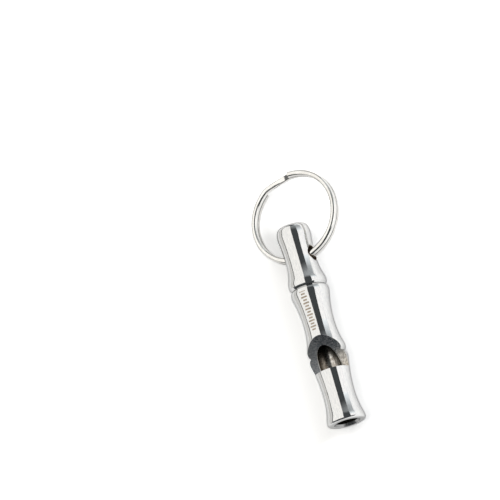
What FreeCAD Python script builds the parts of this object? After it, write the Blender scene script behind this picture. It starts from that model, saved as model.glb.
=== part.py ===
import FreeCAD, Part
import math
import os

# A bamboo-shaped training whistle with the split ring that carries it. Lengths are in
# millimetres and angles in degrees. The origin is the centre of the mouthpiece's end face.
# The whistle's axis is X, with +X out of the mouthpiece, so the whistle lies along -X. It
# lies on its side on a level surface: +Z is up, and the ring's hole runs across it, along Y.
# A "station" is a distance from the mouthpiece's face, measured along the whistle.

# Turned outside
LENGTH = 61.3
NODE_STATIONS = (21.0, 41.8)
NODE_RADIUS = 5.75
NODE_CREST_OFFSET = 1.6
NODE_CREST_ROUNDING = 3.2
GROOVE_HALF_WIDTH = 0.6
GROOVE_ROOT_RADIUS = 5.08
WAIST_STATIONS = (8.9, 30.7, 50.8)
WAIST_RADII = (4.72, 4.63, 4.58)

# Ends: a crest a little way in, then the rim's rounding down to the flat end face
MOUTH_RADIUS = 5.8
MOUTH_CREST_STATION = 0.95
MOUTH_CREST_ROUNDING = 4.0
MOUTH_RIM_ROUNDING = 0.75
RING_END_RADIUS = 5.06
RING_END_CREST_STATION = 58.2
RING_END_CREST_ROUNDING = 7.0
RING_END_RIM_ROUNDING = 1.8

# Bore, drilled from the mouthpiece
BORE_RADIUS = 3.25
BORE_DEPTH = 44.0
DRILL_POINT_ANGLE = 118.0
MOUTH_CHAMFER = 0.7

# Sound window: a square wall on the mouthpiece's side and a hollow ramp up to the surface
WINDOW_TURN = 9.5
WINDOW_WALL_STATION = 15.9
WINDOW_WALL_HEIGHT = -0.1
RAMP_TOP_STATION = 26.2
RAMP_TOP_HEIGHT = 4.98
RAMP_RADIUS = 50.0
WINDOW_EDGE_BREAK = 0.22
CUTTER_SIZE = 20.0

# Cross-hole for the split ring
RING_HOLE_STATION = 51.45
RING_HOLE_RADIUS = 2.3
RING_HOLE_CHAMFER = 0.3

# Fipple plug: it fills the bore behind the window's wall, and its flat is the windway's floor
PLUG_RECESS = 3.5
WINDWAY_HEIGHT = 0.9
PLUG_EDGE_BREAK = 0.25

# Split ring: flattened wire wound twice, one coil on the other, with one step between them
RING_OUTER_RADIUS = 14.3
WIRE_WIDTH = 1.75
WIRE_THICKNESS = 1.58
COIL_GAP = 0.06
OUTSIDE_EDGE_ROUNDING = 0.84
INSIDE_EDGE_ROUNDING = 0.2
STEP_ANGLE = 38.0
STEP_INSET = 0.45
STEP_SECTIONS = 9
END_GAP_ANGLE = 1.5
COIL_END_ANGLE = 176.0
RING_SIDE_SHIFT = 1.0
TILT_ROUNDS = 20

EDGE_TEST_SHARES = (0.25, 0.5, 0.75)
TOLERANCE = 0.001

X_AXIS = FreeCAD.Vector(1, 0, 0)
Y_AXIS = FreeCAD.Vector(0, 1, 0)
Z_AXIS = FreeCAD.Vector(0, 0, 1)
ORIGIN = FreeCAD.Vector(0, 0, 0)
RING_MEAN_RADIUS = RING_OUTER_RADIUS - WIRE_WIDTH / 2
RING_THICKNESS = 2 * WIRE_THICKNESS + COIL_GAP


def at(station, height, across=0.0):
    """The point at a station, at a height above the axis and a distance across it."""
    return FreeCAD.Vector(-station, across, height)


def crest_to_waist(waist_station, waist_radius, crest_station, crest_radius, rounding):
    """The hollow arc from a waist towards a crest, and where it meets the crest's rounding.

    The waist and the crest are both level, and the hollow arc meets the rounding without a
    corner. Returned are the arc's middle point and its end on the rounding.
    """
    run = crest_station - waist_station
    rise = crest_radius - waist_radius
    both_radii = (run ** 2 + rise ** 2) / (2 * rise)
    hollow_radius = both_radii - rounding
    sweep = math.asin(run / both_radii)

    def on_arc(angle):
        height = waist_radius + hollow_radius * (1 - math.cos(angle))
        return at(waist_station + hollow_radius * math.sin(angle), height)

    return on_arc(sweep / 2), on_arc(sweep)


def on_crest(crest_station, crest_radius, rounding, offset):
    """The point of a crest's rounding that stands offset from its top, along the axis."""
    drop = rounding - math.sqrt(rounding ** 2 - offset ** 2)
    return at(crest_station + offset, crest_radius - drop)


def end_edges(hollow_end, crest, end_station, rim_rounding):
    """An end of the whistle, from its hollow arc's end over the crest and the rim to the end face."""
    station, radius, rounding = crest
    side = math.copysign(1, end_station - station)
    between_centres = rounding - rim_rounding
    lean = math.asin((abs(end_station - station) - rim_rounding) / between_centres)
    rim_height = radius - rounding + between_centres * math.cos(lean)

    def on_rim(angle):
        along = end_station - side * rim_rounding * (1 - math.sin(angle))
        return at(along, rim_height + rim_rounding * math.cos(angle))

    halfway = (lean + math.pi / 2) / 2
    face_edge = on_rim(math.pi / 2)
    edges = [
        Part.Arc(hollow_end, at(station, radius), on_rim(lean)).toShape(),
        Part.Arc(on_rim(lean), on_rim(halfway), face_edge).toShape(),
        Part.LineSegment(face_edge, at(end_station, 0)).toShape(),
    ]
    return edges


def node_edges(station, before, after):
    """One bamboo node: a crest on each side of a V-groove, between two hollow arcs' ends."""
    edges = []
    near_crest = station - NODE_CREST_OFFSET
    far_crest = station + NODE_CREST_OFFSET
    shoulder = NODE_CREST_OFFSET - GROOVE_HALF_WIDTH
    near_top = at(near_crest, NODE_RADIUS)
    far_top = at(far_crest, NODE_RADIUS)
    near_shoulder = on_crest(near_crest, NODE_RADIUS, NODE_CREST_ROUNDING, shoulder)
    far_shoulder = on_crest(far_crest, NODE_RADIUS, NODE_CREST_ROUNDING, -shoulder)
    root = at(station, GROOVE_ROOT_RADIUS)
    edges.append(Part.Arc(before, near_top, near_shoulder).toShape())
    edges.append(Part.LineSegment(near_shoulder, root).toShape())
    edges.append(Part.LineSegment(root, far_shoulder).toShape())
    edges.append(Part.Arc(far_shoulder, far_top, after).toShape())
    return edges


def segment_edges(index, near_crest, far_crest):
    """One hollow segment: two arcs that meet at the waist. Crests are (station, radius, rounding)."""
    station, radius = WAIST_STATIONS[index], WAIST_RADII[index]
    waist = at(station, radius)
    near_middle, near_end = crest_to_waist(station, radius, *near_crest)
    far_middle, far_end = crest_to_waist(station, radius, *far_crest)
    edges = [
        Part.Arc(near_end, near_middle, waist).toShape(),
        Part.Arc(waist, far_middle, far_end).toShape(),
    ]
    return edges, near_end, far_end


def turned_blank():
    """The whistle as it leaves the lathe, before any drilling or milling."""
    mouth_crest = (MOUTH_CREST_STATION, MOUTH_RADIUS, MOUTH_CREST_ROUNDING)
    ring_crest = (RING_END_CREST_STATION, RING_END_RADIUS, RING_END_CREST_ROUNDING)
    crests = [mouth_crest]
    for station in NODE_STATIONS:
        crests.append((station - NODE_CREST_OFFSET, NODE_RADIUS, NODE_CREST_ROUNDING))
        crests.append((station + NODE_CREST_OFFSET, NODE_RADIUS, NODE_CREST_ROUNDING))
    crests.append(ring_crest)

    segments = []
    for index in range(len(WAIST_STATIONS)):
        segments.append(segment_edges(index, crests[2 * index], crests[2 * index + 1]))

    edges = end_edges(segments[0][1], mouth_crest, 0, MOUTH_RIM_ROUNDING)
    for index, (hollow, _, far_end) in enumerate(segments):
        edges += hollow
        if index < len(NODE_STATIONS):
            next_near_end = segments[index + 1][1]
            edges += node_edges(NODE_STATIONS[index], far_end, next_near_end)
    edges += end_edges(segments[-1][2], ring_crest, LENGTH, RING_END_RIM_ROUNDING)
    edges.append(Part.LineSegment(at(LENGTH, 0), ORIGIN).toShape())
    outline = Part.Face(Part.Wire(Part.sortEdges(edges)[0]))
    return outline.revolve(ORIGIN, X_AXIS, 360)


def bore():
    """The drilled bore with its drill point, and the chamfer at its mouth."""
    point_depth = BORE_RADIUS / math.tan(math.radians(DRILL_POINT_ANGLE / 2))
    hole = Part.makeCylinder(BORE_RADIUS, BORE_DEPTH, ORIGIN, -X_AXIS)
    point = Part.makeCone(BORE_RADIUS, 0, point_depth, at(BORE_DEPTH, 0), -X_AXIS)
    chamfer = Part.makeCone(BORE_RADIUS + MOUTH_CHAMFER, BORE_RADIUS, MOUTH_CHAMFER, ORIGIN, -X_AXIS)
    return hole.fuse([point, chamfer])


def turned_to_window(shape):
    """The shape turned about the whistle's axis from upright to the window's direction."""
    turned = shape.copy()
    turned.rotate(ORIGIN, X_AXIS, -WINDOW_TURN)
    return turned


def window_cutter():
    """What the window's mill takes away: everything above the ramp, up to the square wall."""
    foot = at(WINDOW_WALL_STATION, WINDOW_WALL_HEIGHT, -CUTTER_SIZE / 2)
    top = at(RAMP_TOP_STATION, RAMP_TOP_HEIGHT, -CUTTER_SIZE / 2)
    chord = top - foot
    middle = (foot + top) * 0.5
    upwards = FreeCAD.Vector(chord.z, 0, -chord.x)
    upwards.normalize()
    centre = middle + upwards * math.sqrt(RAMP_RADIUS ** 2 - (chord.Length / 2) ** 2)
    run_out = 2 * math.asin(chord.Length / 2 / RAMP_RADIUS)

    def turned_about_centre(point, angle):
        spoke = point - centre
        turn = FreeCAD.Rotation(Y_AXIS, math.degrees(angle))
        return centre + turn.multVec(spoke)

    beyond = turned_about_centre(top, run_out)
    if beyond.x > top.x:
        beyond = turned_about_centre(top, -run_out)
    lid = WINDOW_WALL_HEIGHT + CUTTER_SIZE
    over_beyond = FreeCAD.Vector(beyond.x, beyond.y, lid)
    over_foot = FreeCAD.Vector(foot.x, foot.y, lid)
    edges = [
        Part.Arc(foot, top, beyond).toShape(),
        Part.LineSegment(beyond, over_beyond).toShape(),
        Part.LineSegment(over_beyond, over_foot).toShape(),
        Part.LineSegment(over_foot, foot).toShape(),
    ]
    side = Part.Face(Part.Wire(edges))
    return turned_to_window(side.extrude(Y_AXIS * CUTTER_SIZE))


def ring_hole():
    """The cross-hole, with a broken edge where it comes out on each side."""
    reach = CUTTER_SIZE / 2
    hole = Part.makeCylinder(RING_HOLE_RADIUS, CUTTER_SIZE, at(RING_HOLE_STATION, 0, -reach), Y_AXIS)
    shapes = [hole]
    for side in (-1, 1):
        start = WAIST_RADII[-1] - RING_HOLE_CHAMFER
        mouth = at(RING_HOLE_STATION, 0, side * start)
        wide = RING_HOLE_RADIUS + reach - start
        shapes.append(Part.makeCone(RING_HOLE_RADIUS, wide, reach - start, mouth, Y_AXIS * side))
    return shapes[0].fuse(shapes[1:])


def is_window_edge(edge):
    """True for the edges where the ramp cuts into the bore."""
    first, last = edge.ParameterRange
    points = [edge.valueAt(first + (last - first) * share) for share in EDGE_TEST_SHARES]
    on_bore = all(abs(math.hypot(p.y, p.z) - BORE_RADIUS) < TOLERANCE for p in points)
    in_window = all(-RAMP_TOP_STATION < p.x < -WINDOW_WALL_STATION - TOLERANCE for p in points)
    return on_bore and in_window


def whistle_body():
    """The bar with its bore, window and ring hole, and the burr taken off inside the window."""
    body = turned_blank().cut([bore(), window_cutter(), ring_hole()])
    burred = [edge for edge in body.Edges if is_window_edge(edge)]
    return body.makeChamfer(WINDOW_EDGE_BREAK, burred)


def fipple_plug():
    """The plug in the mouthpiece, with the flat that leaves the windway above it."""
    length = WINDOW_WALL_STATION - PLUG_RECESS
    plug = Part.makeCylinder(BORE_RADIUS, length, at(PLUG_RECESS, 0), -X_AXIS)
    flat_height = BORE_RADIUS - WINDWAY_HEIGHT
    above = Part.makeBox(
        length, CUTTER_SIZE, CUTTER_SIZE, at(WINDOW_WALL_STATION, flat_height, -CUTTER_SIZE / 2)
    )
    plug = plug.cut(above)
    entry = [edge for edge in plug.Edges if is_entry_edge(edge)]
    return turned_to_window(plug.makeChamfer(PLUG_EDGE_BREAK, entry))


def is_entry_edge(edge):
    """True for the straight edge of the plug's flat that faces the mouthpiece."""
    middle = edge.CenterOfMass
    straight = isinstance(edge.Curve, (Part.Line, Part.LineSegment))
    return straight and abs(middle.x + PLUG_RECESS) < TOLERANCE


def wire_section(angle, height, inset=0.0):
    """The wire's section at an angle round the ring.

    The height runs from 1 in the upper coil to -1 in the lower one. The edges that face the other
    coil are sharper than the ones outside.
    """
    turn = FreeCAD.Rotation(Z_AXIS, angle)
    level = height * (WIRE_THICKNESS + COIL_GAP) / 2
    mean_rounding = (OUTSIDE_EDGE_ROUNDING + INSIDE_EDGE_ROUNDING) / 2
    rounding_change = (OUTSIDE_EDGE_ROUNDING - INSIDE_EDGE_ROUNDING) / 2

    def place(radial, axial):
        return turn.multVec(FreeCAD.Vector(RING_MEAN_RADIUS - inset + radial, 0, level + axial))

    edges = []
    for side_r, side_a in ((1, 1), (-1, 1), (-1, -1), (1, -1)):
        corner = mean_rounding + side_a * height * rounding_change
        diagonal = corner * (1 - math.sin(math.radians(45)))
        out = side_r * WIRE_WIDTH / 2
        up = side_a * WIRE_THICKNESS / 2
        on_side = place(out, up - side_a * corner)
        on_flat = place(out - side_r * corner, up)
        middle = place(out - side_r * diagonal, up - side_a * diagonal)
        ends = (on_side, on_flat) if side_r == side_a else (on_flat, on_side)
        if edges:
            edges.append(Part.LineSegment(edges[-1].Vertexes[-1].Point, ends[0]).toShape())
        edges.append(Part.Arc(ends[0], middle, ends[1]).toShape())
    last, first = edges[-1].Vertexes[-1].Point, edges[0].Vertexes[0].Point
    edges.append(Part.LineSegment(last, first).toShape())
    return Part.Wire(edges)


def wire_step(first_angle):
    """The step that takes the wire from the upper coil down to the lower one, cutting the corner."""
    sections = []
    for number in range(STEP_SECTIONS):
        part_way = number / (STEP_SECTIONS - 1)
        angle = first_angle + STEP_ANGLE * part_way
        height = math.cos(math.pi * part_way)
        sections.append(wire_section(angle, height, STEP_INSET * math.sin(math.pi * part_way)))
    return Part.makeLoft(sections, True, False)


def flat_ring():
    """The split ring, flat on its own Z axis, with the upper coil's end at angle 0."""
    sweep = 360 - STEP_ANGLE
    upper = Part.Face(wire_section(0, 1)).revolve(ORIGIN, Z_AXIS, sweep)
    lower = Part.Face(wire_section(0, -1)).revolve(ORIGIN, Z_AXIS, sweep - END_GAP_ANGLE)
    return upper.fuse([wire_step(sweep), lower])


def ring_reach():
    """How far the ring's centre stands from the hole's axis, so the wire is central in the hole."""
    half_hole = WAIST_RADII[-1]
    inner_radius = RING_OUTER_RADIUS - WIRE_WIDTH
    inner_reach = math.sqrt(inner_radius ** 2 - (half_hole + RING_SIDE_SHIFT) ** 2)
    return (RING_OUTER_RADIUS + inner_reach) / 2


def resting_tilt():
    """How far the ring's plane leans down from level, so that its far side rests on the surface."""
    edge_reach = ring_reach() + RING_OUTER_RADIUS - OUTSIDE_EDGE_ROUNDING
    edge_depth = RING_THICKNESS / 2 - OUTSIDE_EDGE_ROUNDING
    tilt = 0.0
    for _ in range(TILT_ROUNDS):
        drop = MOUTH_RADIUS - OUTSIDE_EDGE_ROUNDING - edge_depth * math.cos(tilt)
        tilt = math.asin(drop / edge_reach)
    return math.degrees(tilt)


def split_ring():
    """The ring through the whistle's hole, leaning down until its far side touches the surface."""
    ring = flat_ring().mirror(ORIGIN, Y_AXIS)
    ring.rotate(ORIGIN, Z_AXIS, COIL_END_ANGLE)
    ring.translate(FreeCAD.Vector(-ring_reach(), RING_SIDE_SHIFT, 0))
    ring.rotate(ORIGIN, Y_AXIS, -resting_tilt())
    ring.translate(at(RING_HOLE_STATION, 0))
    return ring


def main():
    os.makedirs("parts", exist_ok=True)
    nodes = {
        "whistle_body": whistle_body(),
        "fipple_plug": fipple_plug(),
        "split_ring": split_ring(),
    }
    for name, shape in nodes.items():
        shape.exportStep("parts/" + name + ".step")
        box = shape.BoundBox
        print(name, "valid", shape.isValid(), "solids", len(shape.Solids))
        print("  from", [round(v, 3) for v in (box.XMin, box.YMin, box.ZMin)])
        print("  to  ", [round(v, 3) for v in (box.XMax, box.YMax, box.ZMax)])
    print("ring tilt", round(resting_tilt(), 3))


main()
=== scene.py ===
import math

import bpy
from mathutils import Matrix, Vector


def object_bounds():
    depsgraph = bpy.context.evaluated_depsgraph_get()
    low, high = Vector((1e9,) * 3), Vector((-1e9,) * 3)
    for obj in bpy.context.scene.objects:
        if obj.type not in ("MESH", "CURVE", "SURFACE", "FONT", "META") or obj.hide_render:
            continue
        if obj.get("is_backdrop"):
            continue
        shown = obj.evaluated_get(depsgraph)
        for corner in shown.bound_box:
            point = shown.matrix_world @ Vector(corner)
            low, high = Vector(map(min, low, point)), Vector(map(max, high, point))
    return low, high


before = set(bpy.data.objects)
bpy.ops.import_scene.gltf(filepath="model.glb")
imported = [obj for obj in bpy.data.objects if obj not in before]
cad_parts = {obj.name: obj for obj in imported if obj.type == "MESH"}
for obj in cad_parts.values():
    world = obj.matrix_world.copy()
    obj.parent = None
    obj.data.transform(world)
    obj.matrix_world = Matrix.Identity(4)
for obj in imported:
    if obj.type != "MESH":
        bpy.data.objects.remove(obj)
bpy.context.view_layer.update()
MM = 0.001

# Camera: its place in the row frame, its axes and its field of view
CAMERA_PLACE = (0.350634, 0.612857, 1.313869)
CAMERA_RIGHT = (0.26195, 0.836375, -0.481429)
CAMERA_UP = (-0.926145, 0.358068, 0.11814)
FRAME_PIXELS = 500
FOCAL_PIXELS = 5161.0
SENSOR = 36.0

# Whistle dimensions that the materials need, in millimetres, with X from the mouthpiece's face
BORE_RADIUS = 3.25
CHAMFER_SLANT = 3.95
WINDOW_TURN = math.radians(9.5)
WINDOW_WALL_X = -15.9
RAMP_CENTRE = (0.92, 46.98)
RAMP_RADIUS = 50.0
RING_HOLE_X = -51.45
RING_HOLE_RADIUS = 2.3
RING_CENTRE = (-64.06, 1.0, -2.05)
RING_TILT = math.radians(9.2)
MARKS_X = (-40.2, -27.9)
MARKS_TURN = math.radians(2.3)
BAR_SPACING = 0.9
SHORT_BAR = 0.6
LONG_BAR = 0.95


# ---------------------------------------------------------------- camera

def camera():
    """The one camera, at the photo's viewing angle."""
    data = bpy.data.cameras.new("camera")
    data.sensor_fit = "HORIZONTAL"
    data.sensor_width = SENSOR
    data.lens = SENSOR * FOCAL_PIXELS / FRAME_PIXELS
    data.clip_start = 0.01
    data.clip_end = 30.0
    right = Vector(CAMERA_RIGHT).normalized()
    up = Vector(CAMERA_UP)
    up = (up - right * up.dot(right)).normalized()
    back = right.cross(up)
    turn = Matrix((right, up, back)).transposed().to_4x4()
    obj = bpy.data.objects.new("camera", data)
    bpy.context.scene.collection.objects.link(obj)
    obj.matrix_world = Matrix.Translation(Vector(CAMERA_PLACE)) @ turn
    bpy.context.scene.camera = obj


# ---------------------------------------------------------------- node graphs

class Graph:
    """A material's node tree, built call by call. An input is a socket, a number or a tuple."""

    def __init__(self, name):
        self.material = bpy.data.materials.new(name)
        self.material.use_nodes = True
        self.tree = self.material.node_tree
        self.tree.nodes.clear()
        self.place = None

    def add(self, kind, inputs=None, **settings):
        node = self.tree.nodes.new("ShaderNode" + kind)
        for key, value in settings.items():
            setattr(node, key, value)
        for key, value in (inputs or {}).items():
            if isinstance(value, bpy.types.NodeSocket):
                self.tree.links.new(value, node.inputs[key])
            else:
                node.inputs[key].default_value = value
        return node

    def math(self, operation, *values, clamp=False):
        inputs = {number: value for number, value in enumerate(values)}
        return self.add("Math", inputs, operation=operation, use_clamp=clamp).outputs[0]

    def times(self, first, second):
        return self.math("MULTIPLY", first, second)

    def hypotenuse(self, first, second):
        squares = self.math("ADD", self.times(first, first), self.times(second, second))
        return self.math("SQRT", squares)

    def step(self, value, low, high):
        """0 below low, 1 above high and smooth between; reversed if low is above high."""
        first, last, start, end = (low, high, 0.0, 1.0) if low < high else (high, low, 1.0, 0.0)
        inputs = {0: value, 1: first, 2: last, 3: start, 4: end}
        return self.add("MapRange", inputs, interpolation_type="SMOOTHSTEP").outputs[0]

    def both(self, *masks):
        product = masks[0]
        for mask in masks[1:]:
            product = self.times(product, mask)
        return product

    def near(self, value, target, width):
        """1 where value is within width of target."""
        gap = self.math("ABSOLUTE", self.math("SUBTRACT", value, target))
        return self.step(gap, width, width * 0.6)

    def between(self, value, low, high, soft):
        above = self.step(value, low - soft, low + soft)
        below = self.step(value, high + soft, high - soft)
        return self.both(above, below)

    def mix(self, share, first, second):
        """A blend of two numbers."""
        return self.add("Mix", {0: share, 2: first, 3: second}, data_type="FLOAT").outputs[0]

    def blend(self, share, first, second):
        """A blend of two colours."""
        first = first if isinstance(first, bpy.types.NodeSocket) else (*first, 1)
        second = second if isinstance(second, bpy.types.NodeSocket) else (*second, 1)
        return self.add("Mix", {0: share, 6: first, 7: second}, data_type="RGBA").outputs[2]

    def millimetres(self):
        """X, Y and Z of the point in the row frame."""
        place = self.add("TexCoord").outputs["Object"]
        scaled = self.add("VectorMath", {0: place, 3: 1 / MM}, operation="SCALE").outputs[0]
        split = self.add("SeparateXYZ", {0: scaled})
        self.place = scaled
        return split.outputs[0], split.outputs[1], split.outputs[2]

    def vector(self, x, y, z):
        return self.add("CombineXYZ", {0: x, 1: y, 2: z}).outputs[0]

    def noise(self, vector, scale, detail=3.0, roughness=0.55):
        inputs = {"Vector": vector, "Scale": scale, "Detail": detail, "Roughness": roughness}
        return self.add("TexNoise", inputs).outputs[0]

    def finish(self, color, roughness, height, distance, edge=0.5):
        """The metal itself, with the bump's distance in metres and its brightness at grazing angles."""
        bump = self.add("Bump", {"Height": height, "Distance": distance, "Strength": 1.0})
        inputs = {"Base Color": color, "Roughness": roughness, "Metallic": 1.0}
        inputs["Normal"] = bump.outputs[0]
        inputs["Specular Tint"] = (edge, edge, edge, 1)
        shader = self.add("BsdfPrincipled", inputs)
        out = self.add("OutputMaterial")
        self.tree.links.new(shader.outputs[0], out.inputs[0])
        return self.material


# ---------------------------------------------------------------- studio

TENT_RADIUS = 1.2
PANEL_STEPS = 24
FLOOR_REACH = 12.0
WORLD_COLOR = (0.88, 0.96, 1.0)
WORLD_STRENGTH = 0.09
WARM = (1.0, 0.985, 0.95)
NEUTRAL = (1.0, 0.99, 0.98)
COOL = (0.93, 0.98, 1.0)


def light_material(name, color):
    """A light of one colour, as bright at each point as the panel's own levels say."""
    graph = Graph(name)
    level = graph.add("Attribute", attribute_name="level").outputs["Vector"]
    tinted = graph.add("VectorMath", {0: level, 1: color}, operation="MULTIPLY").outputs[0]
    shine = graph.add("Emission", {"Color": tinted, "Strength": 1.0})
    out = graph.add("OutputMaterial")
    graph.tree.links.new(shine.outputs[0], out.inputs[0])
    return graph.material


def panel(name, angles, along, levels, color=NEUTRAL):
    """A curved light panel over the object. Angles are from +Z towards +Y, along is its run in X.

    The levels are the brightness at (first angle, first X), (first angle, last X),
    (last angle, first X) and (last angle, last X).
    """
    steps = PANEL_STEPS
    verts, faces, values = [], [], []
    for i in range(steps + 1):
        a = i / steps
        angle = math.radians(angles[0] + (angles[1] - angles[0]) * a)
        for j in range(steps + 1):
            b = j / steps
            x = along[0] + (along[1] - along[0]) * b
            verts.append((x, TENT_RADIUS * math.sin(angle), TENT_RADIUS * math.cos(angle)))
            low = levels[0] + (levels[1] - levels[0]) * b
            high = levels[2] + (levels[3] - levels[2]) * b
            values.append(low + (high - low) * a)
    for i in range(steps):
        for j in range(steps):
            k = i * (steps + 1) + j
            faces.append((k, k + 1, k + steps + 2, k + steps + 1))
    mesh = bpy.data.meshes.new(name)
    mesh.from_pydata(verts, [], faces)
    attribute = mesh.attributes.new("level", "FLOAT_VECTOR", "POINT")
    for k, value in enumerate(values):
        attribute.data[k].vector = (value, value, value)
    mesh.materials.append(light_material(name, color))
    obj = bpy.data.objects.new(name, mesh)
    bpy.context.scene.collection.objects.link(obj)
    obj.visible_camera = False
    obj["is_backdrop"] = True


def studio():
    """Two bright panels with a dark gap between them, and dimmer screens towards the closed end."""
    panel("softbox_left", (-56.5, 14.5), (-3.0, 0.5), (1.42,) * 4, WARM)
    panel("softbox_left_low", (-89.9, -62.3), (-3.0, 0.5), (0.95,) * 4, WARM)
    panel("softbox_right", (56, 89.9), (-0.4, 0.5), (1.5,) * 4)
    panel("screen_low_near", (56, 89.9), (-0.85, -0.4), (0.62, 1.5, 0.70, 1.5), COOL)
    panel("screen_low", (56, 89.9), (-1.3, -0.85), (0.50, 0.62, 0.62, 0.70), COOL)
    panel("screen_low_far", (56, 89.9), (-3.0, -1.3), (1.3, 0.55, 1.3, 0.75), COOL)
    panel("screen_high", (14.5, 56), (-1.3, -0.65), (0.42, 0.05, 0.58, 0.10), COOL)
    panel("screen_high_far", (14.5, 56), (-2.2, -1.3), (0.32, 0.42, 0.52, 0.58), COOL)
    world = bpy.data.worlds.new("studio")
    world.use_nodes = True
    back = world.node_tree.nodes["Background"]
    back.inputs["Color"].default_value = (*WORLD_COLOR, 1)
    back.inputs["Strength"].default_value = WORLD_STRENGTH
    bpy.context.scene.world = world
    bpy.context.scene.view_settings.view_transform = "Standard"


def floor():
    """A pale, softly glowing light table.

    It glows a little more away from the whistle and on the +Y side, and less in the far -X, +Y
    corner, which only the reflections reach.
    """
    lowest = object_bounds()[0][2]
    reach = FLOOR_REACH
    mesh = bpy.data.meshes.new("floor")
    corners = [(-reach, -reach, 0), (reach, -reach, 0), (reach, reach, 0), (-reach, reach, 0)]
    mesh.from_pydata(corners, [], [(0, 1, 2, 3)])
    obj = bpy.data.objects.new("floor", mesh)
    bpy.context.scene.collection.objects.link(obj)
    obj.location = (0, 0, lowest)
    graph = Graph("light_table")
    x, y, _ = graph.millimetres()
    beside = graph.step(graph.math("ABSOLUTE", y), 5.0, 24.0)
    past_ends = graph.math("MAXIMUM", graph.step(x, -1.0, 4.0), graph.step(x, -60.0, -68.0))
    away = graph.math("MAXIMUM", beside, past_ends)
    side = graph.step(y, -9.0, 9.0)
    glow = graph.mix(away, graph.mix(side, 0.2, 0.62), graph.mix(side, 0.55, 0.8))
    far_end = graph.both(graph.step(x, -100.0, -160.0), graph.step(y, 60.0, 120.0))
    glow = graph.math("SUBTRACT", glow, graph.times(far_end, 0.48))
    inputs = {"Base Color": (0.93, 0.93, 0.93, 1), "Roughness": 0.7}
    inputs["Emission Color"] = (1.0, 1.0, 1.0, 1)
    inputs["Emission Strength"] = glow
    shader = graph.add("BsdfPrincipled", inputs)
    out = graph.add("OutputMaterial")
    graph.tree.links.new(shader.outputs[0], out.inputs[0])
    mesh.materials.append(graph.material)
    obj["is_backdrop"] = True


# ---------------------------------------------------------------- materials

def sideways_at(graph, turn, y, z):
    """The distance across, seen from a direction turned about the whistle's axis from upright."""
    return graph.math("SUBTRACT", graph.times(y, math.cos(turn)), graph.times(z, math.sin(turn)))


def upwards_at(graph, turn, y, z):
    """The height, seen along the same turned direction."""
    return graph.math("ADD", graph.times(y, math.sin(turn)), graph.times(z, math.cos(turn)))


def marks(graph, x, y, z):
    """Laser-engraved bars along the middle segment: 1 where the metal is tinted."""
    across = sideways_at(graph, MARKS_TURN, y, z)
    above = graph.step(z, 0.0, 0.1)
    along = graph.math("SUBTRACT", x, MARKS_X[0])
    inside = graph.between(x, MARKS_X[0], MARKS_X[1], 0.02)
    short_bar = graph.step(graph.math("PINGPONG", along, BAR_SPACING / 2), 0.27, 0.21)
    long_bar = graph.step(graph.math("PINGPONG", along, BAR_SPACING), 0.27, 0.21)
    short_reach = graph.between(across, -SHORT_BAR, SHORT_BAR, 0.04)
    long_reach = graph.between(across, -LONG_BAR, LONG_BAR, 0.04)
    bars = graph.math("MAXIMUM", graph.both(short_bar, short_reach), graph.both(long_bar, long_reach))
    return graph.both(bars, inside, above)


def whistle_masks(graph, x, y, z):
    """Where the bar's surface is bored, milled or drilled instead of turned and polished."""
    radius = graph.hypotenuse(y, z)
    in_bar = graph.step(x, -0.2, -0.9)
    bored = graph.both(graph.step(radius, BORE_RADIUS + 0.06, BORE_RADIUS + 0.02), in_bar)
    tilted = upwards_at(graph, WINDOW_TURN, y, z)
    from_centre_x = graph.math("SUBTRACT", x, RAMP_CENTRE[0])
    from_centre_z = graph.math("SUBTRACT", tilted, RAMP_CENTRE[1])
    spoke = graph.hypotenuse(from_centre_x, from_centre_z)
    ramp = graph.both(graph.near(spoke, RAMP_RADIUS, 0.05), graph.between(x, -26.5, -15.8, 0.01))
    wall = graph.both(graph.near(x, WINDOW_WALL_X, 0.03), graph.step(tilted, -0.2, -0.1))
    milled = graph.math("MAXIMUM", ramp, wall)
    milled = graph.both(milled, graph.math("SUBTRACT", 1.0, bored))
    from_hole = graph.math("SUBTRACT", x, RING_HOLE_X)
    hole_radius = graph.hypotenuse(from_hole, z)
    drilled = graph.step(hole_radius, RING_HOLE_RADIUS + 0.06, RING_HOLE_RADIUS + 0.02)
    slant = graph.math("SUBTRACT", radius, x)
    chamfered = graph.both(graph.near(slant, CHAMFER_SLANT, 0.08), graph.between(x, -0.75, -0.03, 0.02))
    sideways = sideways_at(graph, WINDOW_TURN, y, z)
    # Painted highlight: a bright patch on one side of the milled ramp, towards the window wall.
    highlight_patch = graph.both(graph.step(sideways, 2.4, 4.0), graph.step(x, -22.2, -19.0))
    # Painted light: the opposite side of the milled ramp is made paler.
    pale = graph.step(sideways, -0.4, -2.6)
    plain = graph.math("SUBTRACT", 1.0, graph.math("MAXIMUM", bored, milled))
    beveled = graph.both(graph.step(radius, 3.62, 3.56), graph.between(x, -24.5, -15.95, 0.02), plain)
    return radius, bored, milled, drilled, chamfered, beveled, highlight_patch, pale


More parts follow.
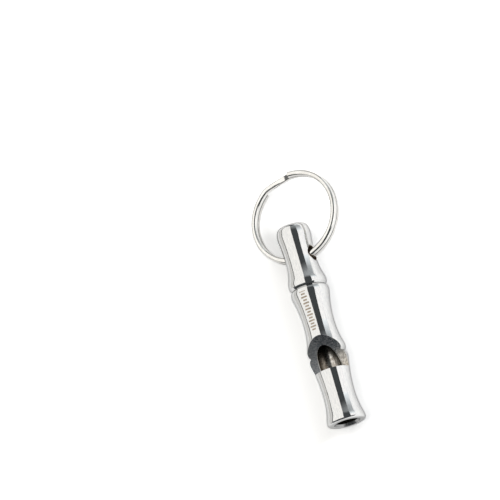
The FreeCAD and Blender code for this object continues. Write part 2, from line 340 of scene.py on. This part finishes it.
def polished_steel():
    """Turned, mirror-polished steel, milled matt in the window, with painted shade inside the mouth, on
    its chamfer and on the milled ramp, painted light on the ramp's sides and on the window's bevel, and
    brown and grey painted reflections on the bore wall.
    """
    graph = Graph("polished_steel")
    x, y, z = graph.millimetres()
    radius, bored, milled, drilled, chamfered, beveled, highlight_patch, pale = whistle_masks(graph, x, y, z)
    inner = graph.math("MAXIMUM", bored, drilled)

    turning = graph.noise(graph.vector(graph.times(x, 9.0), radius, 0.0), 1.0, 2.0)
    stretched = graph.vector(graph.times(x, 0.35), graph.times(y, 3.0), graph.times(z, 3.0))
    buffing = graph.noise(stretched, 1.6, 5.0, 0.6)
    smudge = graph.noise(graph.place, 0.16, 3.0)
    grit = graph.noise(graph.place, 14.0, 2.0)
    mottle = graph.noise(graph.place, 2.3, 4.0, 0.65)
    cutter = graph.noise(graph.vector(graph.times(x, 3.2), graph.times(y, 0.5), 0.0), 1.4, 3.0)
    bore_rings = graph.noise(graph.vector(graph.times(x, 6.0), 0.0, 0.0), 1.0, 3.0)
    patches = graph.noise(graph.place, 0.7, 4.0)

    shine = graph.blend(graph.step(buffing, 0.32, 0.72), (0.56, 0.565, 0.57), (0.66, 0.655, 0.645))
    # Milled ramp: dark grey with lighter and near-black mottled patches; the dark grey and the
    # near-black patches are painted shade.
    mill = graph.blend(graph.step(cutter, 0.35, 0.65), (0.10, 0.11, 0.125), (0.23, 0.24, 0.26))
    mill = graph.blend(graph.times(graph.step(mottle, 0.48, 0.66), 0.75), mill, (0.46, 0.47, 0.47))
    mill = graph.blend(graph.times(graph.step(mottle, 0.46, 0.34), 0.7), mill, (0.03, 0.035, 0.05))
    # Painted highlight colour for that bright patch on the ramp.
    bright_mill = graph.blend(graph.step(mottle, 0.35, 0.6), (0.50, 0.46, 0.41), (0.92, 0.88, 0.82))
    # Painted light: the ramp's paler side.
    mill = graph.blend(graph.times(pale, 0.35), mill, (0.46, 0.47, 0.48))
    mill = graph.blend(highlight_patch, mill, bright_mill)
    # Bore wall: the brown and grey patches are painted reflections.
    bore = graph.blend(graph.step(patches, 0.35, 0.7), (0.34, 0.31, 0.28), (0.66, 0.64, 0.60))
    # Painted shade: the bore is dark just inside the mouth, fading out between two and seven
    # millimetres in.
    bore = graph.blend(graph.step(x, -7.0, -2.0), bore, (0.16, 0.15, 0.14))
    mark = marks(graph, x, y, z)
    tint = graph.blend(graph.step(mottle, 0.35, 0.65), (0.18, 0.14, 0.10), (0.34, 0.28, 0.22))
    color = graph.blend(graph.times(mark, 0.9), shine, tint)
    color = graph.blend(bored, color, bore)
    color = graph.blend(drilled, color, (0.44, 0.35, 0.27))
    # Painted shade: the mouth's inner chamfer is darkened into a dark rim line.
    color = graph.blend(graph.times(chamfered, 0.6), color, (0.12, 0.12, 0.12))
    # Painted highlight: the window's bevel next to the bore is near white.
    color = graph.blend(beveled, color, (0.92, 0.92, 0.90))
    color = graph.blend(milled, color, mill)

    rough = graph.mix(graph.step(smudge, 0.35, 0.75), 0.04, 0.08)
    rough = graph.math("ADD", rough, graph.times(turning, 0.03))
    rough = graph.mix(mark, rough, 0.34)
    rough = graph.mix(inner, rough, graph.mix(drilled, 0.22, 0.45))
    rough = graph.mix(chamfered, rough, 0.24)
    rough = graph.mix(beveled, rough, 0.45)
    rough = graph.mix(milled, rough, graph.mix(cutter, 0.36, 0.5))

    smooth = graph.times(turning, 0.02)
    cut = graph.math("ADD", cutter, graph.times(mottle, 1.4))
    height = graph.mix(inner, smooth, graph.times(bore_rings, 0.5))
    height = graph.mix(mark, height, graph.times(grit, 0.12))
    height = graph.mix(milled, height, cut)
    return graph.finish(color, rough, height, 0.00003)


def plug_steel():
    """Turned and milled steel with cutter marks, not polished."""
    graph = Graph("plug_steel")
    x, y, z = graph.millimetres()
    radius = graph.hypotenuse(y, z)
    facing = graph.noise(graph.vector(graph.times(radius, 8.0), 0.0, 0.0), 1.0, 2.0)
    along = graph.noise(graph.vector(x, graph.times(y, 9.0), graph.times(z, 9.0)), 1.0, 3.0)
    patches = graph.noise(graph.place, 0.8, 4.0)
    color = graph.blend(graph.step(patches, 0.35, 0.7), (0.30, 0.29, 0.27), (0.50, 0.49, 0.47))
    rough = graph.mix(facing, 0.22, 0.42)
    height = graph.math("ADD", facing, graph.times(along, 0.5))
    return graph.finish(color, rough, height, 0.00001)


def ring_steel():
    """Nickel-plated spring wire, with the fine lengthwise lines that drawing leaves."""
    graph = Graph("ring_steel")
    x, y, z = graph.millimetres()
    from_x = graph.math("SUBTRACT", x, RING_CENTRE[0])
    from_y = graph.math("SUBTRACT", y, RING_CENTRE[1])
    from_z = graph.math("SUBTRACT", z, RING_CENTRE[2])
    cos_tilt, sin_tilt = math.cos(RING_TILT), math.sin(RING_TILT)
    flat_x = graph.math("ADD", graph.times(from_x, cos_tilt), graph.times(from_z, sin_tilt))
    height = graph.math("SUBTRACT", graph.times(from_z, cos_tilt), graph.times(from_x, sin_tilt))
    radius = graph.hypotenuse(flat_x, from_y)
    lines = graph.vector(graph.times(radius, 14.0), graph.times(height, 14.0), 0.0)
    drawn = graph.noise(lines, 1.0, 2.0)
    smudge = graph.noise(graph.place, 0.22, 3.0)
    speck = graph.noise(graph.place, 6.0, 3.0)
    color = graph.blend(graph.step(smudge, 0.35, 0.7), (0.64, 0.63, 0.61), (0.74, 0.735, 0.72))
    # Painted shade: a dark band on the wire where its two coils meet.
    gap = graph.near(height, 0.0, 0.14)
    color = graph.blend(gap, color, (0.10, 0.10, 0.10))
    rough = graph.mix(graph.step(speck, 0.45, 0.8), 0.05, 0.11)
    rough = graph.math("ADD", rough, graph.times(drawn, 0.03))
    return graph.finish(color, rough, drawn, 0.000002)


def give(node, material):
    """Gives a CAD node its one material."""
    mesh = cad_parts[node].data
    mesh.materials.clear()
    mesh.materials.append(material)


camera()
studio()
floor()
give("whistle_body", polished_steel())
give("fipple_plug", plug_steel())
give("split_ring", ring_steel())
